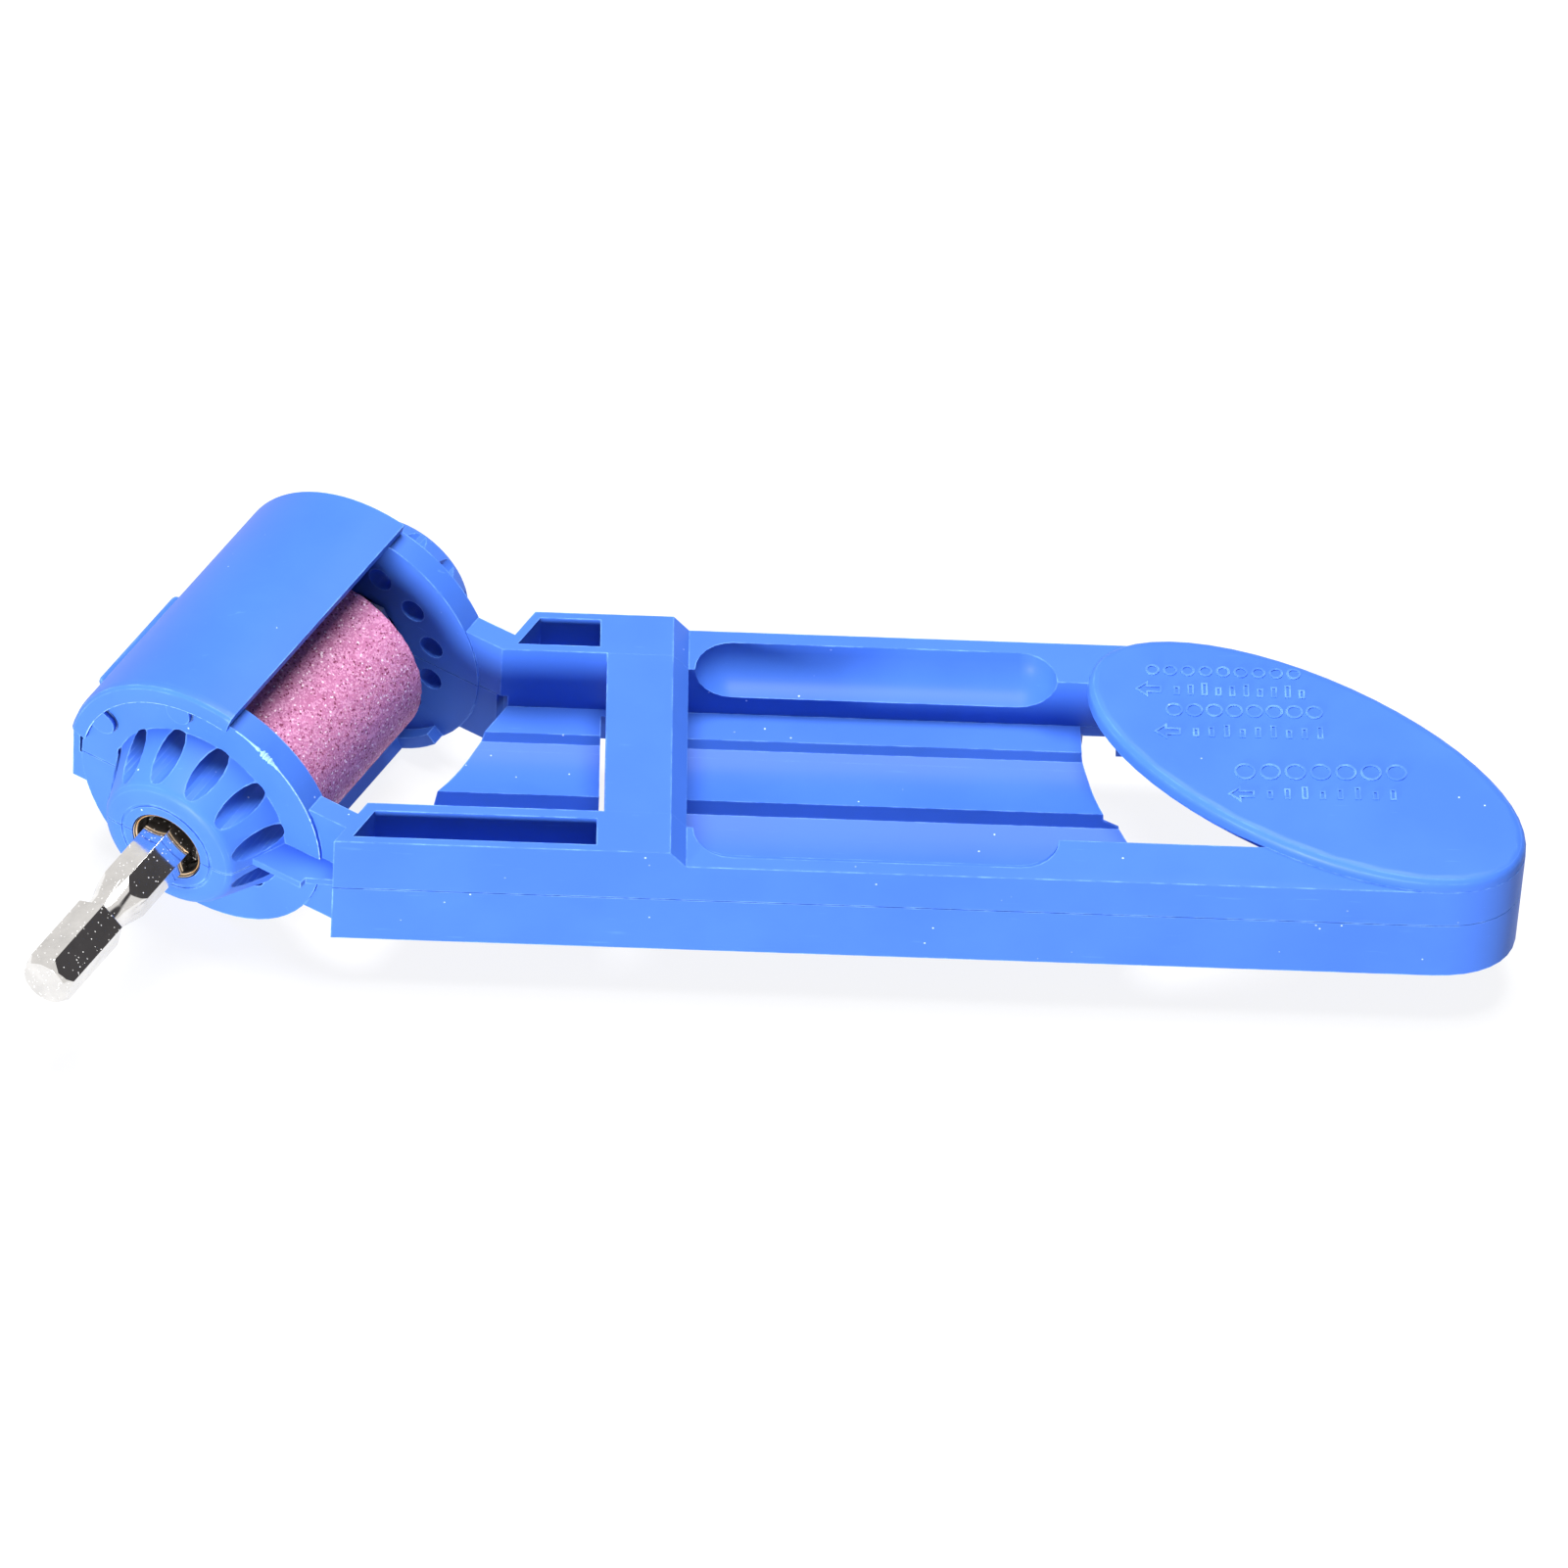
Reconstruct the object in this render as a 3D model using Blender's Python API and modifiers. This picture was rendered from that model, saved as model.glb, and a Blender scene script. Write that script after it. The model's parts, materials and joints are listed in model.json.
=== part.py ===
"""Drill bit sharpener: a drill-driven grinding wheel in a two-part plastic body with a long guide handle.

Frame: +X runs along the handle from the wheel to the grip, +Y to the back rail, +Z up.
The origin is the middle of the hex shank's end face. Z = 0 is the plane where the two shells meet,
and the wheel's axis lies in it, turned by half the drill point angle from the handle.
"""
import math

import bmesh
import bpy
from mathutils import Vector

MM = 0.001

# Wheel axis and drum
POINT_HALF_ANGLE = math.radians(59)      # half of a 118 degree drill point
DRUM_FRONT = 35.0 * MM                   # shank end to the drum's front face, along the wheel axis
DRUM_LENGTH = 39.7 * MM
DRUM_RADIUS = 17.5 * MM
FRONT_WALL = 3.5 * MM
REAR_WALL = 3.2 * MM
ARM_INSET = 0.5 * MM                     # the front arms lie this far behind the drum's front face
HUB_LENGTH = 7.8 * MM
REAR_HUB_LENGTH = 8.4 * MM
HUB_TIP_RADIUS = 8.4 * MM
HUB_SHOULDER_RADIUS = 9.5 * MM
HUB_BASE_RADIUS = 12.4 * MM
HUB_BORE_RADIUS = 5.0 * MM
RING_MARK_RADIUS = 6.4 * MM
VENT_COUNT = 12
VENT_RADIUS = 1.65 * MM
VENT_CIRCLE = 10.96 * MM
VENT_TURN = 15.35                        # degrees from the handle's side to the first vent
GUTTER_INNER = 15.7 * MM
GUTTER_END = 297                         # degrees, counted up from the side facing the handle
GUSSET_END = 317
LUG_REACH = 18.8 * MM
LUG_TOP = 2.8 * MM
LUG_BOTTOM = -5.1 * MM

# Handle
HANDLE_Y = 37.4 * MM                     # centre line
HALF_WIDTH = 20.0 * MM
TROUGH_HALF = 13.35 * MM
BOTTOM = -9.1 * MM
RAIL_TOP = 6.0 * MM
BLOCK_TOP = 8.4 * MM
BLOCK_END = 20.7 * MM                    # distance of the block's end faces from the wheel axis
FLOOR_END = 21.5 * MM                    # the same for the trough floor
BRIDGE_LEFT = 67.7 * MM
BRIDGE_RIGHT = 75.9 * MM
SLOPE_FOOT = 77.9 * MM
BRIDGE_THICKNESS = 1.8 * MM
WALL = 1.5 * MM
SEAM_GAP = 0.1 * MM
CLEARANCE = 0.3 * MM
LANE_1 = -1.85 * MM
LANE_2 = -2.9 * MM
LANE_2_MID = -3.7 * MM
LANE_3 = -4.7 * MM
LANE_3_MID = -5.6 * MM
STEP_1_Y = HANDLE_Y + 8.5 * MM
STEP_2_Y = HANDLE_Y - 0.9 * MM
STEP_SLANT = 0.35 * MM                    # half the width that each step between lanes slopes over
FLOOR_THICKNESS = 1.5 * MM
POCKET_DEPTH = 7.2 * MM
GROOVE_RADIUS = 4.8 * MM
GROOVE_START = 83.5 * MM
GROOVE_END = 119.0 * MM

# Oval pad at the grip end
PAD_X = 154.5 * MM
PAD_HALF_LENGTH = 27.0 * MM
PAD_LEAN = math.radians(126.9)           # turns the oval so that it runs from back left to front right
PAD_TOP = 7.9 * MM
PAD_UNDERSIDE = 5.5 * MM
PAD_EDGE = 1.2 * MM

# Spindle, wheel and bearings
HEX_CORNER_RADIUS = 3.667 * MM           # a quarter inch across the flats
HEX_TURN = math.radians(20)
HEX_LENGTH = 29.6 * MM
SPINDLE_RADIUS = 4.0 * MM
SPINDLE_END = 79.0 * MM
WHEEL_START = 40.0 * MM
WHEEL_LENGTH = 27.0 * MM
WHEEL_RADIUS = 12.5 * MM
BORE_RADIUS = 4.2 * MM
SEAT_RADIUS = 8.0 * MM
SEAT_START = 30.2 * MM
SEAT_LENGTH = 5.6 * MM
BEARING_WIDTH = 5.0 * MM
BALL_RADIUS = 0.7 * MM
BALL_CIRCLE = 6.03 * MM
BALL_COUNT = 7

# Guard
GUARD_INNER = 17.8 * MM
GUARD_OUTER = 19.4 * MM
GUARD_START = 77
GUARD_END = 169
LIP_INNER = 16.9 * MM
LIP_THICKNESS = 0.6 * MM
LIP_GAP = 0.12 * MM                       # between the lip and the drum's front face
GUARD_REAR_INSET = 0.4 * MM
TONGUE_ANGLES = (101.5, 152)
TONGUE_WIDTH = 3.4 * MM
TONGUE_TIP = 14.3 * MM

# Screws, from below
SCREW_PLACES = ((72.0, 19.9), (72.0, 54.9), (125.4, 19.9), (125.4, 54.9),
                (151.0, 19.9), (174.5, 29.5), (149.0, 53.2))
SCREW_RADIUS = 0.9 * MM
SCREW_HOLE = 1.15 * MM
SCREW_HEAD_RADIUS = 1.55 * MM
SCREW_HEAD_HEIGHT = 1.1 * MM
SCREW_SEAT_RADIUS = 1.8 * MM
SCREW_SINK = 1.6 * MM
BOSS_RADIUS = 3.1 * MM
SCREW_TIP_Z = 3.4 * MM
RIB_X = (88 * MM, 100 * MM, 112 * MM)

FAR = 300.0 * MM
HAIR = 0.05 * MM
ROUND = 48
SMALL_ROUND = 20

AXIS = Vector((math.cos(POINT_HALF_ANGLE), math.sin(POINT_HALF_ANGLE), 0.0))
ACROSS = Vector((math.sin(POINT_HALF_ANGLE), -math.cos(POINT_HALF_ANGLE), 0.0))
DRUM_REAR = DRUM_FRONT + DRUM_LENGTH
FRONT_Y = HANDLE_Y - HALF_WIDTH
BACK_Y = HANDLE_Y + HALF_WIDTH
FRONT_INNER_Y = HANDLE_Y - TROUGH_HALF
BACK_INNER_Y = HANDLE_Y + TROUGH_HALF


# ---------------------------------------------------------------- scene and materials

def clear_scene():
    for obj in list(bpy.data.objects):
        bpy.data.objects.remove(obj, do_unlink=True)


def new_collection(name):
    collection = bpy.data.collections.new(name)
    bpy.context.scene.collection.children.link(collection)
    return collection


clear_scene()
PARTS = new_collection("drill_bit_sharpener")
CUTTERS = new_collection("cutters")


def material(name, color, roughness, metallic=0.0):
    mat = bpy.data.materials.new(name)
    mat.use_nodes = True
    shader = mat.node_tree.nodes["Principled BSDF"]
    shader.inputs["Base Color"].default_value = (*color, 1.0)
    shader.inputs["Roughness"].default_value = roughness
    shader.inputs["Metallic"].default_value = metallic
    return mat


BLUE = material("blue_plastic", (0.09, 0.30, 0.85), 0.45)
CORUNDUM = material("pink_corundum", (0.75, 0.42, 0.58), 0.9)
CHROME = material("chromed_steel", (0.80, 0.80, 0.80), 0.15, 1.0)
STEEL = material("bearing_steel", (0.62, 0.62, 0.64), 0.25, 1.0)
BRONZE = material("bush_bronze", (0.72, 0.55, 0.33), 0.25, 1.0)
ZINC = material("zinc_plated_steel", (0.70, 0.71, 0.73), 0.35, 1.0)


def drum_point(across, along, z=0.0):
    """A point at a distance across and along the wheel axis."""
    point = across * ACROSS + along * AXIS
    return Vector((point.x, point.y, z))


def on_line_at_y(across, y):
    """Where a line parallel to the wheel axis, at a distance across it, reaches y."""
    along = (y - across * ACROSS.y) / AXIS.y
    return drum_point(across, along)


# ---------------------------------------------------------------- shapes

def add_object(name, mesh, collection, mat=None, parent=None):
    obj = bpy.data.objects.new(name, mesh)
    collection.objects.link(obj)
    if parent is not None:
        obj.parent = parent
    if mat is not None:
        mesh.materials.append(mat)
    return obj


def finish_mesh(bm, name, weld=0.002 * MM):
    bmesh.ops.remove_doubles(bm, verts=bm.verts, dist=weld)
    bmesh.ops.recalc_face_normals(bm, faces=bm.faces)
    mesh = bpy.data.meshes.new(name)
    bm.to_mesh(mesh)
    bm.free()
    return mesh


def as_tool(obj):
    obj.hide_render = True
    obj.display_type = "WIRE"
    return obj


def empty(name, location, rotation):
    obj = bpy.data.objects.new(name, None)
    obj.location = location
    obj.rotation_euler = rotation
    PARTS.objects.link(obj)
    return obj


# Local Z of this empty is the wheel axis, and its local X points across it to the handle.
DRUM_AXIS = empty("drum_axis", (0, 0, 0), (-math.pi / 2, 0, POINT_HALF_ANGLE - math.pi / 2))


def prism(name, outline, low, high, axis, collection=CUTTERS, mat=BLUE, parent=None):
    """A flat outline made solid between two distances along an axis."""
    curve = bpy.data.curves.new(name, "CURVE")
    curve.dimensions = "2D"
    curve.fill_mode = "BOTH"
    curve.extrude = (high - low) / 2
    spline = curve.splines.new("POLY")
    spline.points.add(len(outline) - 1)
    for point, corner in zip(spline.points, outline):
        point.co = (corner[0], corner[1], 0.0, 1.0)
    spline.use_cyclic_u = True
    source = bpy.data.objects.new(name, curve)
    bpy.context.scene.collection.objects.link(source)
    graph = bpy.context.evaluated_depsgraph_get()
    mesh = bpy.data.meshes.new_from_object(source.evaluated_get(graph))
    bpy.data.objects.remove(source, do_unlink=True)
    bm = bmesh.new()
    bm.from_mesh(mesh)
    bmesh.ops.remove_doubles(bm, verts=bm.verts, dist=0.002 * MM)
    bmesh.ops.dissolve_limit(bm, angle_limit=0.001, verts=bm.verts, edges=bm.edges)
    for vert in bm.verts:
        x, y, depth = vert.co.x, vert.co.y, low if vert.co.z < 0 else high
        vert.co = {"x": (depth, x, y), "y": (x, depth, y), "z": (x, y, depth)}[axis]
    return add_object(name, finish_mesh(bm, name), collection, mat, parent)


def slab(name, outline, low, high, collection=CUTTERS, mat=BLUE):
    """An outline seen from above, between two heights."""
    return prism(name, outline, low, high, "z", collection, mat)


def block(name, low, high, collection=CUTTERS, mat=BLUE, parent=None):
    """A box between two corners."""
    bm = bmesh.new()
    bmesh.ops.create_cube(bm, size=1.0)
    low, high = Vector(low), Vector(high)
    bmesh.ops.scale(bm, vec=high - low, verts=bm.verts)
    bmesh.ops.translate(bm, vec=(low + high) / 2, verts=bm.verts)
    return add_object(name, finish_mesh(bm, name), collection, mat, parent)


def rod(name, radius, low, high, centre, sides=SMALL_ROUND, mat=BLUE, parent=None, tip=None):
    """A cylinder along local Z, or a cone when a tip radius is given."""
    bm = bmesh.new()
    end_radius = radius if tip is None else tip
    bmesh.ops.create_cone(bm, cap_ends=True, segments=sides, radius1=radius, radius2=end_radius,
                          depth=high - low)
    bmesh.ops.translate(bm, vec=(centre[0], centre[1], (low + high) / 2), verts=bm.verts)
    return add_object(name, finish_mesh(bm, name), CUTTERS, mat, parent)


def turned(name, profile, collection=PARTS, mat=BLUE, sides=ROUND, turn=0.0):
    """A closed profile of (radius, along) points turned about the wheel axis."""
    mesh = bpy.data.meshes.new(name)
    count = len(profile)
    edges = [(i, (i + 1) % count) for i in range(count)]
    edges = [(i, j) for i, j in edges if profile[i][0] > 0 or profile[j][0] > 0]
    mesh.from_pydata([(r, 0.0, along) for r, along in profile], edges, [])
    obj = add_object(name, mesh, collection, mat, DRUM_AXIS)
    obj.rotation_euler.z = turn
    screw = obj.modifiers.new("turn", "SCREW")
    screw.steps = sides
    screw.render_steps = sides
    screw.use_merge_vertices = True
    screw.merge_threshold = 0.002 * MM
    screw.use_normal_calculate = True
    return apply_modifiers(obj)


def apply_modifiers(obj):
    """Keeps the shape that the modifiers make, with its faces pointing out."""
    bpy.context.view_layer.update()
    graph = bpy.context.evaluated_depsgraph_get()
    mesh = bpy.data.meshes.new_from_object(obj.evaluated_get(graph))
    bm = bmesh.new()
    bm.from_mesh(mesh)
    bmesh.ops.recalc_face_normals(bm, faces=bm.faces)
    bm.to_mesh(mesh)
    bm.free()
    obj.modifiers.clear()
    obj.data = mesh
    return obj


def swept(name, profile, start, end, steps, collection=CUTTERS, mat=BLUE):
    """A closed profile of (radius, along) points swept about the wheel axis between two angles.

    Angles are in degrees, counted up from the side that faces the handle.
    """
    bm = bmesh.new()
    first = math.radians(start)
    verts = [bm.verts.new((r * math.cos(first), -r * math.sin(first), along)) for r, along in profile]
    face = bm.faces.new(verts)
    bmesh.ops.spin(bm, geom=[face], cent=(0, 0, 0), axis=(0, 0, -1), angle=math.radians(end - start),
                   steps=steps, use_duplicate=False)
    return add_object(name, finish_mesh(bm, name), collection, mat, DRUM_AXIS)


def boolean(obj, operation, tools):
    for tool in tools:
        as_tool(tool)
        step = obj.modifiers.new(tool.name, "BOOLEAN")
        step.operation = operation
        step.object = tool
        step.solver = "EXACT"
    return obj


def join(obj, *tools):
    return boolean(obj, "UNION", tools)


def cut(obj, *tools):
    return boolean(obj, "DIFFERENCE", tools)


def smooth(obj, angle=35):
    obj.data.shade_smooth()
    obj.data.set_sharp_from_angle(angle=math.radians(angle))
    return obj


# ---------------------------------------------------------------- outlines

def pad_oval(inset=0.0, start=0, end=360, steps=48):
    """Points round the leaning oval, its rightmost point at 0 degrees."""
    points = []
    for i in range(steps + 1):
        t = math.radians(start + (end - start) * i / steps)
        x = PAD_X + (PAD_HALF_LENGTH - inset) * math.cos(t)
        y = HANDLE_Y + (HALF_WIDTH - inset) * math.cos(t - PAD_LEAN)
        points.append((x, y))
    return points[:-1] if end - start == 360 else points


def handle_outline(left_points):
    """The handle seen from above: straight sides that run into the oval end."""
    lean = math.degrees(PAD_LEAN)
    return left_points + pad_oval(start=lean - 180, end=lean, steps=30)


def slanted_end(across, low_y, high_y):
    """Two points on a line parallel to the wheel axis, back one first."""
    return [tuple(on_line_at_y(across, high_y))[:2], tuple(on_line_at_y(across, low_y))[:2]]


def sagging_lane(start_y, end_y, edge_z, mid_z, steps=6):
    """A shallow hollow between two edges of one height."""
    points = []
    for i in range(steps + 1):
        t = i / steps
        points.append((start_y + (end_y - start_y) * t, edge_z + (mid_z - edge_z) * math.sin(math.pi * t)))
    return points


# ---------------------------------------------------------------- trough

TROUGH_END_BACK = (134.0 * MM, BACK_INNER_Y)
TROUGH_END_FRONT = (172.0 * MM, FRONT_INNER_Y)
FLOOR_RIGHT = ((127.1 * MM, BACK_INNER_Y - HAIR), (127.3 * MM, 46.0 * MM), (130.0 * MM, 36.6 * MM),
               (131.9 * MM, 36.3 * MM), (133.2 * MM, 34.0 * MM), (134.2 * MM, 31.0 * MM),
               (134.8 * MM, FRONT_INNER_Y + HAIR))


def trough_profile():
    """Section of the open space above the three lanes."""
    top = BLOCK_TOP + 5 * MM
    profile = [(FRONT_INNER_Y, top)]
    profile += sagging_lane(FRONT_INNER_Y, STEP_2_Y - STEP_SLANT, LANE_3, LANE_3_MID, 8)
    profile += sagging_lane(STEP_2_Y + STEP_SLANT, STEP_1_Y - STEP_SLANT, LANE_2, LANE_2_MID, 8)
    profile += [(STEP_1_Y + STEP_SLANT, LANE_1), (BACK_INNER_Y, LANE_1), (BACK_INNER_Y, top)]
    return profile


def tub_profile():
    """Outside of the walls and the stepped floor that hang below the parting plane."""
    front = FRONT_INNER_Y - WALL
    back = BACK_INNER_Y + WALL
    step_2 = STEP_2_Y - WALL
    step_1 = STEP_1_Y - WALL
    top = 0.5 * MM
    return [(front, top), (front, LANE_3_MID - FLOOR_THICKNESS), (step_2, LANE_3_MID - FLOOR_THICKNESS),
            (step_2, LANE_2_MID - FLOOR_THICKNESS), (step_1, LANE_2_MID - FLOOR_THICKNESS),
            (step_1, LANE_1 - FLOOR_THICKNESS), (back, LANE_1 - FLOOR_THICKNESS), (back, top)]


def left_of(name, across):
    """Everything on the wheel's side of a plane parallel to the wheel axis."""
    outline = [drum_point(across, -FAR), drum_point(across, FAR), drum_point(-FAR, FAR), drum_point(-FAR, -FAR)]
    return slab(name, outline, -FAR, FAR)


def beyond_trough_end(name, grow, side=1):
    """Everything past the slanted wall that closes the trough, or before it when side is -1."""
    back = Vector(TROUGH_END_BACK)
    front = Vector(TROUGH_END_FRONT)
    along = (back - front).normalized()
    out = Vector((along.y, -along.x))
    a = back + along * FAR + out * grow
    b = front - along * FAR + out * grow
    return slab(name, [b, b + out * FAR * side, a + out * FAR * side, a], -FAR, FAR)


def make_trough():
    trough = prism("trough", trough_profile(), 20 * MM, 180 * MM, "x")
    return cut(trough, left_of("trough_left_end", BLOCK_END - 0.5 * MM), beyond_trough_end("trough_right_end", 0.0))


def make_tub():
    tub = prism("tub", tub_profile(), 30 * MM, 170 * MM, "x")
    return cut(tub, left_of("tub_left_end", FLOOR_END), beyond_trough_end("tub_right_end", WALL))


def floor_gap():
    """The opening in the floor beside the pad, which sheds the grinding dust."""
    back = Vector(TROUGH_END_BACK) + Vector((-2 * HAIR, -HAIR))
    front = Vector(TROUGH_END_FRONT) + Vector((-2 * HAIR, HAIR))
    return slab("floor_gap", list(FLOOR_RIGHT) + [front, back], -12 * MM, 3 * MM)


def bridge_gap():
    """The slot in the floor below the bridge."""
    return block("bridge_gap", (BRIDGE_LEFT - 0.4 * MM, FRONT_INNER_Y + HAIR, -12 * MM),
                 (BRIDGE_RIGHT - 0.6 * MM, BACK_INNER_Y - 1.2 * MM, 0.7 * MM))


# ---------------------------------------------------------------- end walls of the drum

def front_wall_profile():
    """Half section of the front end wall with its hub, bearing seat and bore, as (radius, along)."""
    tip = DRUM_FRONT - HUB_LENGTH
    seat_end = SEAT_START + SEAT_LENGTH
    inner = DRUM_FRONT + FRONT_WALL
    half = 0.2 * MM
    ring = [(RING_MARK_RADIUS - half, tip), (RING_MARK_RADIUS - half, tip + half),
            (RING_MARK_RADIUS + half, tip + half), (RING_MARK_RADIUS + half, tip)]
    return ring + hub_outside(tip) + [
        (DRUM_RADIUS, DRUM_FRONT), (DRUM_RADIUS, inner), (6.4 * MM, inner), (6.4 * MM, seat_end),
        (SEAT_RADIUS, seat_end), (SEAT_RADIUS, SEAT_START), (HUB_BORE_RADIUS, SEAT_START), (HUB_BORE_RADIUS, tip)]


def rear_wall_profile():
    """The rear end wall is much the same, but closed at its longer tip."""
    tip = DRUM_FRONT - REAR_HUB_LENGTH
    seat_end = SEAT_START + SEAT_LENGTH
    inner = DRUM_FRONT + REAR_WALL
    profile = [(0.0, tip)] + hub_outside(tip) + [
        (DRUM_RADIUS, DRUM_FRONT), (DRUM_RADIUS, inner), (6.4 * MM, inner), (6.4 * MM, seat_end),
        (SEAT_RADIUS, seat_end), (SEAT_RADIUS, SEAT_START), (0.0, SEAT_START)]
    return [(r, DRUM_FRONT + DRUM_REAR - along) for r, along in profile]


def hub_outside(tip):
    return [(HUB_TIP_RADIUS - 0.8 * MM, tip), (HUB_TIP_RADIUS + 0.2 * MM, tip + 0.16 * MM),
            (HUB_SHOULDER_RADIUS - 0.35 * MM, tip + 0.55 * MM), (HUB_SHOULDER_RADIUS, tip + 1.15 * MM),
            (HUB_BASE_RADIUS, DRUM_FRONT)]


def end_walls(prefix):
    """Both end walls, pierced by round vents that run parallel to the wheel axis."""
    front = turned(prefix + "_front_wall", front_wall_profile(), CUTTERS, sides=60)
    rear = turned(prefix + "_rear_wall", rear_wall_profile(), CUTTERS, sides=60)
    for i in range(VENT_COUNT):
        turn = -math.radians(VENT_TURN + 360 * i / VENT_COUNT)
        centre = (VENT_CIRCLE * math.cos(turn), VENT_CIRCLE * math.sin(turn))
        for wall, low, high in ((front, 20 * MM, 39.5 * MM), (rear, 70.9 * MM, 90 * MM)):
            cut(wall, rod("%s_vent_%d" % (wall.name, i), VENT_RADIUS, low, high, centre, 16, parent=DRUM_AXIS))
    return front, rear


def left_side_with_arms(gusset=0.0):
    """The block's slanted end seen from above, with the arms that carry the end walls."""
    start, near, far, end = 14.0 * MM, DRUM_FRONT + ARM_INSET, DRUM_FRONT + FRONT_WALL - 0.2 * MM, BLOCK_END
    rear_near, rear_far = DRUM_REAR - REAR_WALL + 0.2 * MM, DRUM_REAR - HAIR
    back_corner, front_corner = slanted_end(BLOCK_END, FRONT_Y, BACK_Y)
    points = [(end, rear_far + gusset), (start, rear_far), (start, rear_near), (end, rear_near),
              (end, far), (start, far), (start, near), (end, near)]
    return [back_corner] + [tuple(drum_point(a, s))[:2] for a, s in points] + [front_corner]


# ---------------------------------------------------------------- screws

def screw_centres():
    return [(x * MM, y * MM) for x, y in SCREW_PLACES]


def make_screw(index, centre):
    """Pan head screw with a cross recess, head downwards."""
    head_low = BOTTOM + SCREW_SINK - SCREW_HEAD_HEIGHT - 0.3 * MM
    head_high = head_low + SCREW_HEAD_HEIGHT
    name = "shell_screw_%d" % index
    bm = bmesh.new()
    bmesh.ops.create_cone(bm, cap_ends=True, segments=16, radius1=SCREW_HEAD_RADIUS * 0.8,
                          radius2=SCREW_HEAD_RADIUS, depth=SCREW_HEAD_HEIGHT)
    obj = add_object(name, finish_mesh(bm, name), PARTS, ZINC)
    obj.location = (centre[0], centre[1], (head_low + head_high) / 2)
    shank = rod(name + "_shank", SCREW_RADIUS, head_high - 0.2 * MM, SCREW_TIP_Z, centre, 12, ZINC, tip=0.4 * MM)
    slots = []
    for turn, (half_x, half_y) in enumerate(((0.95, 0.22), (0.22, 0.95))):
        low = (centre[0] - half_x * MM, centre[1] - half_y * MM, head_low - 1 * MM)
        high = (centre[0] + half_x * MM, centre[1] + half_y * MM, head_low + 0.6 * MM)
        slots.append(block("%s_slot_%d" % (name, turn), low, high))
    join(obj, shank)
    return cut(obj, *slots)


# ---------------------------------------------------------------- upper shell

def pockets():
    """Blind pockets in the tops of the block's two rails, their ends parallel to the wheel axis."""
    low, high = BLOCK_TOP - POCKET_DEPTH, BLOCK_TOP + 2 * MM
    right = BRIDGE_LEFT - 0.9 * MM
    front_outer, front_inner = FRONT_Y + 1.0 * MM, FRONT_INNER_Y - 1.3 * MM
    back_inner, back_outer = BACK_INNER_Y + 1.1 * MM, BACK_Y - 1.0 * MM
    front = slanted_end(BLOCK_END + 1.5 * MM, front_outer, front_inner)
    back = slanted_end(BLOCK_END + 1.1 * MM, back_inner, back_outer)
    front += [(right, front_outer), (right, front_inner)]
    back += [(right, back_inner), (right, back_outer)]
    return slab("front_pocket", front, low, high), slab("back_pocket", back, low, high)


def capsule(name, radius, start, end, y, z):
    """A rod along X with round ends."""
    bm = bmesh.new()
    points = []
    for i in range(7):
        turn = math.pi / 2 * i / 6
        points.append((start - radius * math.cos(turn), radius * math.sin(turn)))
    for i in range(7):
        turn = math.pi / 2 * i / 6
        points.append((end + radius * math.sin(turn), radius * math.cos(turn)))
    verts = [bm.verts.new((x, r, 0.0)) for x, r in points]
    edges = [bm.edges.new(pair) for pair in zip(verts, verts[1:])]
    bmesh.ops.spin(bm, geom=verts + edges, cent=(0, 0, 0), axis=(1, 0, 0), angle=2 * math.pi, steps=24,
                   use_merge=True, use_duplicate=False)
    obj = add_object(name, finish_mesh(bm, name), CUTTERS, BLUE)
    obj.location = (0, y, z)
    return obj


def top_trim():
    """The space above the block, its slope and the rails, seen from the side."""
    outline = [(10 * MM, BLOCK_TOP), (BRIDGE_RIGHT, BLOCK_TOP), (SLOPE_FOOT, RAIL_TOP), (200 * MM, RAIL_TOP),
               (200 * MM, 20 * MM), (10 * MM, 20 * MM)]
    return prism("top_trim", outline, -50 * MM, 100 * MM, "y")


def bridge_strap():
    """The strap across the trough."""
    under = BLOCK_TOP - BRIDGE_THICKNESS
    outline = [(BRIDGE_LEFT, under), (BRIDGE_RIGHT - 0.8 * MM, under), (SLOPE_FOOT - 0.6 * MM, RAIL_TOP - 0.5 * MM),
               (SLOPE_FOOT - 0.02 * MM, RAIL_TOP - 0.5 * MM), (SLOPE_FOOT - 0.02 * MM, RAIL_TOP - 0.01 * MM),
               (BRIDGE_RIGHT - 0.01 * MM, BLOCK_TOP - 0.01 * MM), (BRIDGE_LEFT, BLOCK_TOP - 0.01 * MM)]
    return prism("bridge", outline, FRONT_INNER_Y - 1 * MM, BACK_INNER_Y + 1 * MM, "y")


def pad():
    """The oval plate, with a rounded upper edge."""
    obj = slab("pad", pad_oval(inset=HAIR, steps=56), PAD_UNDERSIDE, PAD_TOP)
    bm = bmesh.new()
    bm.from_mesh(obj.data)
    rim = [e for e in bm.edges if all(v.co.z > PAD_TOP - 0.01 * MM for v in e.verts)
           and abs(e.link_faces[0].normal.z - e.link_faces[1].normal.z) > 0.5]
    bmesh.ops.bevel(bm, geom=rim, offset=PAD_EDGE, segments=3, profile=0.5, affect="EDGES")
    bm.to_mesh(obj.data)
    bm.free()
    return obj


def end_cavity(name, low, high, wall):
    """The hollow inside the grip end, past the slanted wall, less the screw bosses."""
    hollow = slab(name, pad_oval(inset=WALL, steps=40), low, high)
    bosses = [rod("%s_boss_%d" % (name, i), BOSS_RADIUS, low - 1 * MM, high + 1 * MM, c)
              for i, c in enumerate(screw_centres()[5:])]
    return cut(hollow, beyond_trough_end(name + "_keep", wall, -1), *bosses)


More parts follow.
